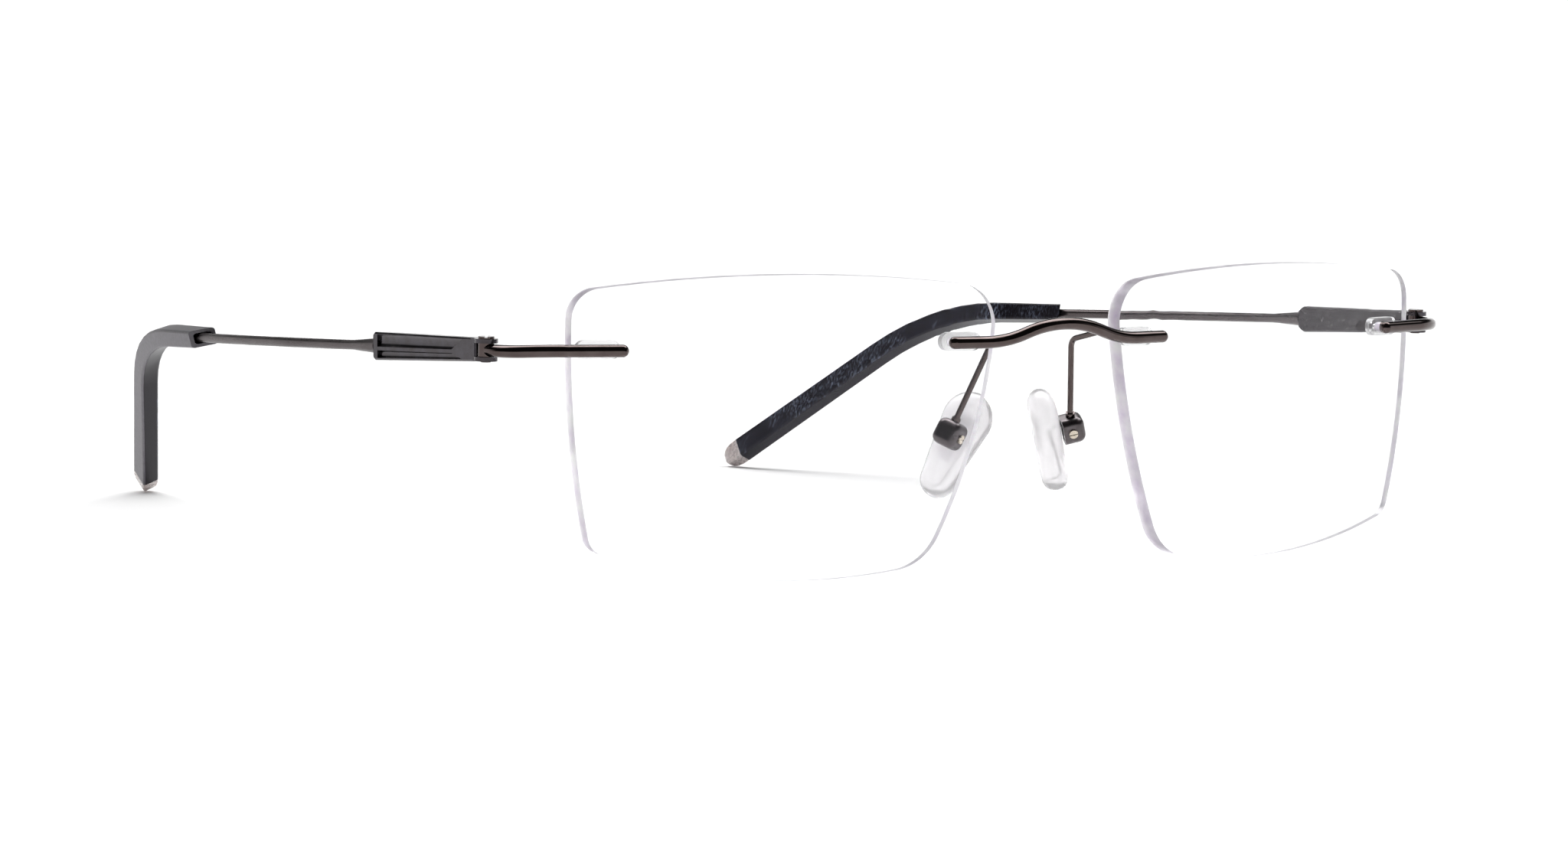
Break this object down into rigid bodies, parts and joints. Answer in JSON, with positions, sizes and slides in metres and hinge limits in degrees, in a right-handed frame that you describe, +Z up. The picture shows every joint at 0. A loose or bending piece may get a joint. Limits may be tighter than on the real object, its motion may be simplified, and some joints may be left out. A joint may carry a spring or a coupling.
{
  "type": "rimless eyeglasses",
  "caption": "Rimless rectangular eyeglasses with drilled clear lenses, gunmetal bridge and temples, clear nose pads and dark temple tips.",
  "frame": {"origin": "middle of the glasses' outline, on the surface they stand on with the temples open", "axes": "+X to the wearer's left, across the front; +Y from the lenses towards the temple tips; +Z up"},
  "size_m": [0.1444, 0.1388, 0.0363],
  "materials": {
    "lens_clear": "clear polished plastic lens",
    "gunmetal_gloss": "dark gunmetal plating, glossy",
    "gunmetal_satin": "dark gunmetal, satin",
    "screw_steel": "bright steel",
    "tip_dark": "matte near-black sleeve",
    "cap_clear": "translucent grey-beige",
    "pad_clear": "clear soft plastic",
    "core_clear": "clear stiff plastic",
    "bushing_clear": "clear plastic"
  },
  "bodies": {
    "front": {"bridge": "gunmetal_gloss", "bridge_bushing_left": "bushing_clear", "bridge_bushing_right": "bushing_clear", "end_bushing_left": "bushing_clear", "end_bushing_right": "bushing_clear", "end_piece_left": "gunmetal_gloss", "end_piece_right": "gunmetal_gloss", "lens_left": "lens_clear", "lens_right": "lens_clear", "pad_arm_left": "gunmetal_gloss", "pad_arm_right": "gunmetal_gloss", "pad_box_left": "gunmetal_gloss", "pad_box_right": "gunmetal_gloss", "pad_screw_left": "screw_steel", "pad_screw_right": "screw_steel"},
    "temple_right": {"temple_block_right": "gunmetal_gloss", "temple_bar_right": "gunmetal_satin", "temple_tip_right": "tip_dark", "tip_cap_right": "cap_clear", "hinge_screw_right": "gunmetal_gloss"},
    "nose_pad_unit_right": {"nose_pad_right": "pad_clear", "pad_core_right": "core_clear"},
    "temple_left": {"temple_block_left": "gunmetal_gloss", "temple_bar_left": "gunmetal_satin", "temple_tip_left": "tip_dark", "tip_cap_left": "cap_clear", "hinge_screw_left": "gunmetal_gloss"},
    "nose_pad_unit_left": {"nose_pad_left": "pad_clear", "pad_core_left": "core_clear"}
  },
  "joints": [
    {"name": "temple_right_fold", "type": "hinge", "parent": "front", "child": "temple_right", "pos_m": [-0.07085, -0.05024, 0.02749], "axis": [0, 0.0186, -0.9998], "range_deg": [0, 78]},
    {"name": "temple_left_fold", "type": "hinge", "parent": "front", "child": "temple_left", "pos_m": [0.07085, -0.05024, 0.02749], "axis": [0, -0.0186, 0.9998], "range_deg": [0, 82]},
    {"name": "nose_pad_right_rock", "type": "hinge", "parent": "front", "child": "nose_pad_unit_right", "pos_m": [-0.00947, -0.0579, 0.01636], "axis": [-0.3809, 0.8517, 0.36], "range_deg": [-9, 9]},
    {"name": "nose_pad_left_rock", "type": "hinge", "parent": "front", "child": "nose_pad_unit_left", "pos_m": [0.00947, -0.0579, 0.01636], "axis": [0.3809, 0.8517, 0.36], "range_deg": [-9, 9]}
  ]
}
